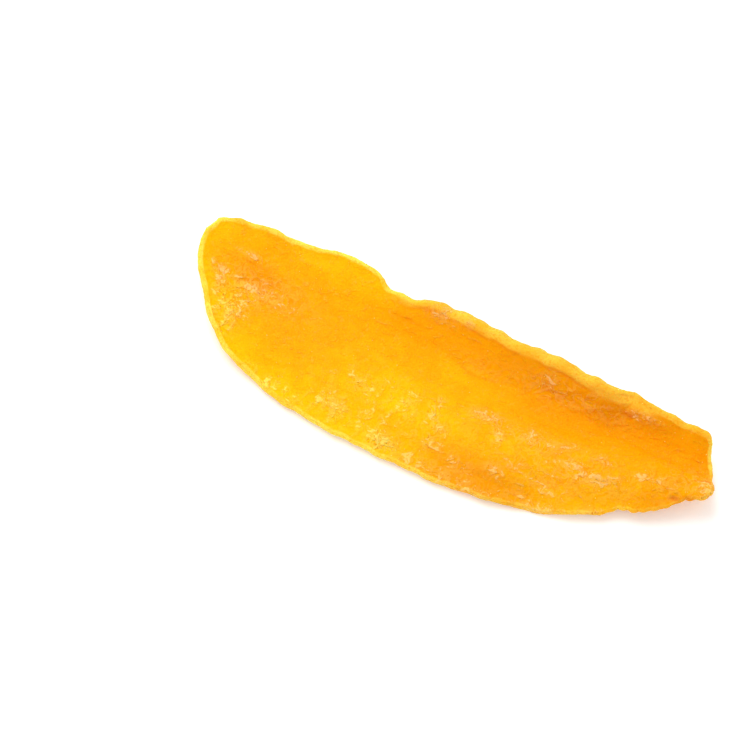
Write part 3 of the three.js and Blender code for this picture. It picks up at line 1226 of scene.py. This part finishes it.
class Ramp(NamedTuple):
    """A rise of a pattern's strength, from one level of the pattern to another."""

    start: float
    end: float
    low: float = 0.0
    high: float = 1.0

    @property
    def values(self) -> dict[str, float]:
        """The rise as the values of a Map Range node."""
        return {"From Min": self.start, "From Max": self.end, "To Min": self.low, "To Max": self.high}


@dataclass(frozen=True)
class CandiedFlesh:
    """Sugared mango flesh, dried: amber yellow, soft and a little see-through, dull on the surface.

    Towards its thin border it is more golden, with painted light on the flap; in the curl a deeper orange,
    partly painted shade;
    its cut rim is paler. Dried sugar frosts it in broken flecks and fine grains, and painted shade darkens
    its creases and pits.
    """

    amber: str = "#FFA800"
    golden: str = "#FFC000"
    # The deeper orange, partly the flesh's own tone and partly painted shade
    deep: str = "#F09A00"
    rim: str = "#FFDC50"
    # Sugar's hues, which also paint a highlight along the threads' lit sides
    frost: str = "#FFC070"
    gold_frost: str = "#FFDC5A"
    # Painted shade in the pits
    pit_shade: str = "#D87400"
    # Painted shade in the creases, under the rim's band and on the threads' shaded sides
    crease_shade: str = "#DE6C00"

    # Real grains of sugar and pores are 0.2 to 0.4 mm wide, a pixel or two, so they are drawn coarser
    mottle_mm: float = 4.2
    fleck_mm: float = 1.9
    fleck_stretch: float = 1.5
    fleck_slant: float = math.radians(17.0)
    thread_mm: float = 2.6
    grain_mm: float = 1.0
    speck_mm: float = 0.6
    pore_mm: float = 0.45
    mottling: Ramp = Ramp(0.3, 0.7, -0.2, 0.2)
    rim_ragged: Ramp = Ramp(0.3, 0.55, 0.45, 1.0)
    pitted: Ramp = Ramp(0.38, 0.32)
    pits_in_sugar: Ramp = Ramp(0.0, 1.0, 0.12, 1.0)
    thread: Ramp = Ramp(0.085, 0.03)
    thread_level: float = 0.5
    thread_shade_level: float = 0.4
    thread_shade: float = 0.34
    frost_reach: float = 0.2
    fine_reach: float = 0.1
    speck_reach: float = 0.3
    crisp: Ramp = Ramp(0.8, 0.88, 0.0, 0.9)
    haze: Ramp = Ramp(0.5, 0.78, 0.0, 0.26)
    crusted: Ramp = Ramp(0.62, 0.98)
    sugared: Ramp = Ramp(0.0, 0.3, 0.12, 1.0)
    fine_grain: Ramp = Ramp(0.58, 0.7)
    grained: Ramp = Ramp(0.0, 1.0, 0.1, 0.5)
    # How strongly the painted highlight of the threads' lit sides shows on wrinkles and on sugar
    thread_on_wrinkles: float = 0.24
    thread_on_frost: float = 0.5
    pore_depth_mm: float = 0.08
    crust_depth_mm: float = 0.16
    thread_height_mm: float = 0.32
    roughness: Ramp = Ramp(0.0, 1.0, 0.6, 0.8)
    ior: float = 1.45
    gloss: float = 0.05
    light_reach_mm: tuple[float, float, float] = (1.6, 0.6, 0.2)
    light_share: float = 0.3

    def material(self) -> bpy.types.Material:
        """Builds the finish.

        Returns:
            The material, which reads the slice's surface marks.
        """
        made = bpy.data.materials.new("dried_mango_flesh")
        made.use_nodes = True
        made.node_tree.nodes.clear()
        add = partial(node, made.node_tree)
        rise, mix, maths = "ShaderNodeMapRange", "ShaderNodeMix", "ShaderNodeMath"
        smooth, colours = {"interpolation_type": "SMOOTHSTEP"}, {"data_type": "RGBA"}
        times, larger = {"operation": "MULTIPLY"}, {"operation": "MAXIMUM"}
        place = add("ShaderNodeTexCoord").outputs["Object"]
        slant = {"Rotation": (0.0, 0.0, self.fleck_slant), "Scale": (self.fleck_stretch, 1.0, 1.0)}
        slanted = add("ShaderNodeMapping", {"Vector": place}, slant, vector_type="TEXTURE").outputs[0]
        marks = {
            name: add("ShaderNodeAttribute", attribute_name=name).outputs["Fac"] for name in SURFACE_MARKS
        }
        patterns = {
            name: add(
                "ShaderNodeTexNoise",
                {"Vector": across},
                {"Scale": per_metre(size), "Detail": detail, "Distortion": distortion},
            ).outputs["Fac"]
            for name, across, size, detail, distortion in (
                ("mottle", place, self.mottle_mm, 3.0, 0.3),
                ("fleck", slanted, self.fleck_mm, 4.0, 1.2),
                ("thread", place, self.thread_mm, 1.5, 1.2),
                ("grain", place, self.grain_mm, 3.0, 0.9),
                ("speck", place, self.speck_mm, 2.0, 0.6),
                ("pore", place, self.pore_mm, 2.0, 0.0),
            )
        }

        # The pale cut rim, ragged where the skin was trimmed off
        ragged = add(rise, {"Value": patterns["speck"]}, self.rim_ragged.values, **smooth).outputs[0]
        rim = add(maths, {0: marks["rim"], 1: ragged}, **times).outputs[0]

        # Painted shade in small dark pits, most of them among the sugar
        pitted = add(rise, {"Value": patterns["speck"]}, self.pitted.values, **smooth).outputs[0]
        near_sugar = add(rise, {"Value": marks["frost"]}, self.pits_in_sugar.values, **smooth).outputs[0]
        pit_shades = add(maths, {0: pitted, 1: near_sugar}, **times).outputs[0]

        # Thin winding threads of wrinkled skin, each with a painted highlight on one side and painted shade
        # on the other
        sides = []
        for level in (self.thread_level, self.thread_shade_level):
            off = add(maths, {0: patterns["thread"]}, {1: level}, operation="SUBTRACT").outputs[0]
            away = add(maths, {0: off}, operation="ABSOLUTE").outputs[0]
            sides.append(add(rise, {"Value": away}, self.thread.values, **smooth).outputs[0])
        lit_side, shaded_side = sides

        # Painted shade, burnt orange: in the pressed creases and the line under the rim's band, and on the
        # threads' shaded sides
        shaded = add(maths, {0: shaded_side}, {1: self.thread_shade}, **times).outputs[0]
        shaded = add(maths, {0: shaded, 1: marks["wrinkle"]}, **times).outputs[0]
        crease_shades = add(maths, {0: shaded, 1: marks["crease_shade"]}, **larger).outputs[0]

        # The flesh's colour: amber, golden where it thins out and painted light on the flap, softly mottled
        mottled = add(rise, {"Value": patterns["mottle"]}, self.mottling.values, **smooth).outputs[0]
        gold = add(maths, {0: marks["gold"], 1: mottled}, operation="ADD", use_clamp=True).outputs[0]
        hues = {COLOUR_A: linear(self.amber), COLOUR_B: linear(self.golden)}
        flesh = add(mix, {"Factor": gold}, hues, **colours).outputs[MIXED_COLOUR]
        # Over it: the deeper orange, partly painted shade; the paler cut rim; painted shade in the pits and
        # creases
        layers = ((marks["depth"], self.deep), (rim, self.rim), (pit_shades, self.pit_shade), (crease_shades, self.crease_shade))
        for share, hue in layers:
            links = {"Factor": share, COLOUR_A: flesh}
            flesh = add(mix, links, {COLOUR_B: linear(hue)}, **colours).outputs[MIXED_COLOUR]

        # Dried sugar: flecks that run together where it lies thick, broken by specks, in a faint haze
        links = {0: marks["frost"], 2: patterns["fleck"]}
        reached = add(maths, links, {1: self.frost_reach}, operation="MULTIPLY_ADD").outputs[0]
        links = {0: patterns["speck"], 2: reached}
        broken = add(maths, links, {1: self.speck_reach}, operation="MULTIPLY_ADD").outputs[0]
        crisp = add(rise, {"Value": broken}, self.crisp.values, **smooth).outputs[0]
        haze = add(rise, {"Value": reached}, self.haze.values, **smooth).outputs[0]
        crust = add(rise, {"Value": broken}, self.crusted.values, **smooth).outputs[0]
        sugared = add(rise, {"Value": marks["frost"]}, self.sugared.values, **smooth).outputs[0]
        flecks = add(maths, {0: crisp, 1: haze}, **larger).outputs[0]
        flecks = add(maths, {0: flecks, 1: sugared}, **times).outputs[0]

        # Sugar as fine grains between the flecks, and a pale hue along the threads' lit sides, partly sugar
        # and partly painted highlight
        links = {0: marks["frost"], 2: patterns["grain"]}
        reached = add(maths, links, {1: self.fine_reach}, operation="MULTIPLY_ADD").outputs[0]
        fine = add(rise, {"Value": reached}, self.fine_grain.values, **smooth).outputs[0]
        grained = add(rise, {"Value": marks["frost"]}, self.grained.values, **smooth).outputs[0]
        grains = add(maths, {0: fine, 1: grained}, **times).outputs[0]
        # The threads' lit sides take the sugar's hue, partly sugar and partly painted highlight
        on_frost = add(maths, {0: marks["frost"]}, {1: self.thread_on_frost}, **times).outputs[0]
        on_wrinkles = add(maths, {0: marks["wrinkle"]}, {1: self.thread_on_wrinkles}, **times).outputs[0]
        share = add(maths, {0: on_frost, 1: on_wrinkles}, **larger).outputs[0]
        thread = add(maths, {0: lit_side, 1: share}, **times).outputs[0]
        sugar = flecks
        for layer in (grains, thread):
            sugar = add(maths, {0: sugar, 1: layer}, **larger).outputs[0]
        hues = {COLOUR_A: linear(self.frost), COLOUR_B: linear(self.gold_frost)}
        sugar_hue = add(mix, {"Factor": marks["gold"]}, hues, **colours).outputs[MIXED_COLOUR]
        links = {"Factor": sugar, COLOUR_A: flesh, COLOUR_B: sugar_hue}
        colour = add(mix, links, **colours).outputs[MIXED_COLOUR]

        # Pores, the sugar's crust and the threads stand out of the surface by their real heights
        roughness = add(rise, {"Value": sugar}, self.roughness.values, **smooth).outputs[0]
        normal = {}
        for height, depth in (
            (patterns["pore"], self.pore_depth_mm),
            (crust, self.crust_depth_mm),
            (thread, self.thread_height_mm),
        ):
            bump = add("ShaderNodeBump", {"Height": height, **normal}, {"Distance": depth * MM})
            normal = {"Normal": bump.outputs[0]}
        shader = add(
            "ShaderNodeBsdfPrincipled",
            {"Base Color": colour, "Roughness": roughness, **normal},
            {
                "IOR": self.ior,
                "Specular IOR Level": self.gloss,
                "Subsurface Weight": self.light_share,
                "Subsurface Radius": self.light_reach_mm,
                "Subsurface Scale": MM,
            },
            subsurface_method="RANDOM_WALK",
        )
        add("ShaderNodeOutputMaterial", {"Surface": shader.outputs["BSDF"]})
        return made


@dataclass(frozen=True)
class SugarCrystal:
    """Crystals of sugar, grown as the slice dried: pale, cloudy, glossy on their small faces."""

    colour: str = "#FFC850"
    roughness: float = 0.5
    ior: float = 1.54
    gloss: float = 0.2

    def material(self) -> bpy.types.Material:
        """Builds the finish.

        Returns:
            The material.
        """
        made = bpy.data.materials.new("dried_sugar_crystal")
        made.use_nodes = True
        shader = made.node_tree.nodes["Principled BSDF"]
        shader.inputs["Base Color"].default_value = linear(self.colour)
        shader.inputs["Roughness"].default_value = self.roughness
        shader.inputs["IOR"].default_value = self.ior
        shader.inputs["Specular IOR Level"].default_value = self.gloss
        return made


# Studio


@dataclass(frozen=True)
class Studio:
    """A white table, soft light from above the slice's straight edge, and the camera."""

    floor_side: float = 4.0
    floor_drop: float = 0.05 * MM
    floor_colour: str = "#FFFFFF"
    floor_roughness: float = 0.9
    floor_gloss: float = 0.1
    # The floor's own faint glow, painted light that lightens the slice's shadow
    floor_painted_glow: float = 0.14
    sky_strength: float = 0.83
    key_direction: tuple[float, float, float] = (-0.55, 0.35, 0.95)
    key_distance: float = 0.9
    key_side: float = 0.8
    key_power: float = 4.75
    azimuth: float = 27.0
    elevation: float = 65.0
    lens: float = 120.0
    sensor: float = 36.0
    nearest: float = 0.01
    picture_px: float = 736.0
    mm_per_px: float = 0.2207
    origin_px: tuple[float, float] = (437.5, 398.0)
    aim_height: float = 5.0 * MM

    def build(self) -> None:
        """Builds the floor, the lights and the camera."""
        self.build_floor()
        self.build_light()
        self.build_camera()

    def build_floor(self) -> None:
        """Lays a plain white floor just under the slice, with a faint painted glow of its own that lightens
        the slice's shadow.
        """
        bm = bmesh.new()
        bmesh.ops.create_grid(bm, x_segments=1, y_segments=1, size=self.floor_side / 2.0)
        bmesh.ops.translate(bm, verts=bm.verts, vec=(0.0, 0.0, -self.floor_drop))
        mesh = bpy.data.meshes.new("white_floor")
        bm.to_mesh(mesh)
        bm.free()
        paper = bpy.data.materials.new("white_paper")
        paper.use_nodes = True
        shader = paper.node_tree.nodes["Principled BSDF"]
        shader.inputs["Base Color"].default_value = linear(self.floor_colour)
        shader.inputs["Roughness"].default_value = self.floor_roughness
        shader.inputs["Specular IOR Level"].default_value = self.floor_gloss
        shader.inputs["Emission Color"].default_value = linear(self.floor_colour)
        shader.inputs["Emission Strength"].default_value = self.floor_painted_glow
        mesh.materials.append(paper)
        floor = bpy.data.objects.new("white_floor", mesh)
        bpy.context.scene.collection.objects.link(floor)

    def build_light(self) -> None:
        """Lights the slice with an even white sky and one large soft lamp."""
        scene = bpy.context.scene
        scene.view_settings.view_transform = "Standard"
        world = bpy.data.worlds.new("white_room")
        world.use_nodes = True
        sky = world.node_tree.nodes["Background"]
        sky.inputs["Color"].default_value = (1.0, 1.0, 1.0, 1.0)
        sky.inputs["Strength"].default_value = self.sky_strength
        scene.world = world
        lamp = bpy.data.lights.new("soft_key", "AREA")
        lamp.shape = "DISK"
        lamp.size = self.key_side
        lamp.energy = self.key_power
        key = bpy.data.objects.new("soft_key", lamp)
        direction = Vector(self.key_direction).normalized()
        key.location = direction * self.key_distance
        key.rotation_euler = direction.to_track_quat("Z", "Y").to_euler()
        scene.collection.objects.link(key)

    def build_camera(self) -> None:
        """Sets the camera at the picture's viewing angle, aimed so that the slice lies where it did."""
        azimuth, elevation = math.radians(self.azimuth), math.radians(self.elevation)
        right = Vector((math.cos(azimuth), math.sin(azimuth), 0.0))
        back = Vector((
            math.cos(elevation) * math.sin(azimuth),
            -math.cos(elevation) * math.cos(azimuth),
            math.sin(elevation),
        ))
        up = back.cross(right)
        middle = self.picture_px / 2.0
        px = self.mm_per_px * MM
        aim = right * (middle - self.origin_px[0]) * px - up * (middle - self.origin_px[1]) * px
        aim += back * self.aim_height
        distance = self.lens * self.picture_px * px / self.sensor
        lens = bpy.data.cameras.new("camera")
        lens.lens = self.lens
        lens.sensor_width = self.sensor
        lens.clip_start = self.nearest
        camera = bpy.data.objects.new("camera", lens)
        camera.matrix_world = Matrix.Translation(aim + back * distance) @ Matrix((
            (right.x, up.x, back.x, 0.0),
            (right.y, up.y, back.y, 0.0),
            (right.z, up.z, back.z, 0.0),
            (0.0, 0.0, 0.0, 1.0),
        ))
        bpy.context.scene.collection.objects.link(camera)
        bpy.context.scene.camera = camera


def main() -> None:
    """Builds the slice, its sugar and the studio."""
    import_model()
    outline = Outline()
    sheet = CurledSheet(outline)
    skin = DriedSkin(outline, sheet)
    flesh = MangoSlice(outline, sheet, skin).build()
    log.info("%s: %d faces", flesh.name, len(flesh.data.polygons))
    crystals = SugarCrystals().build(flesh)
    log.info("%s: %d faces", crystals.name, len(crystals.data.polygons))
    Studio().build()
    log.info("studio: floor, sky, lamp and camera")


if __name__ == "__main__":
    main()
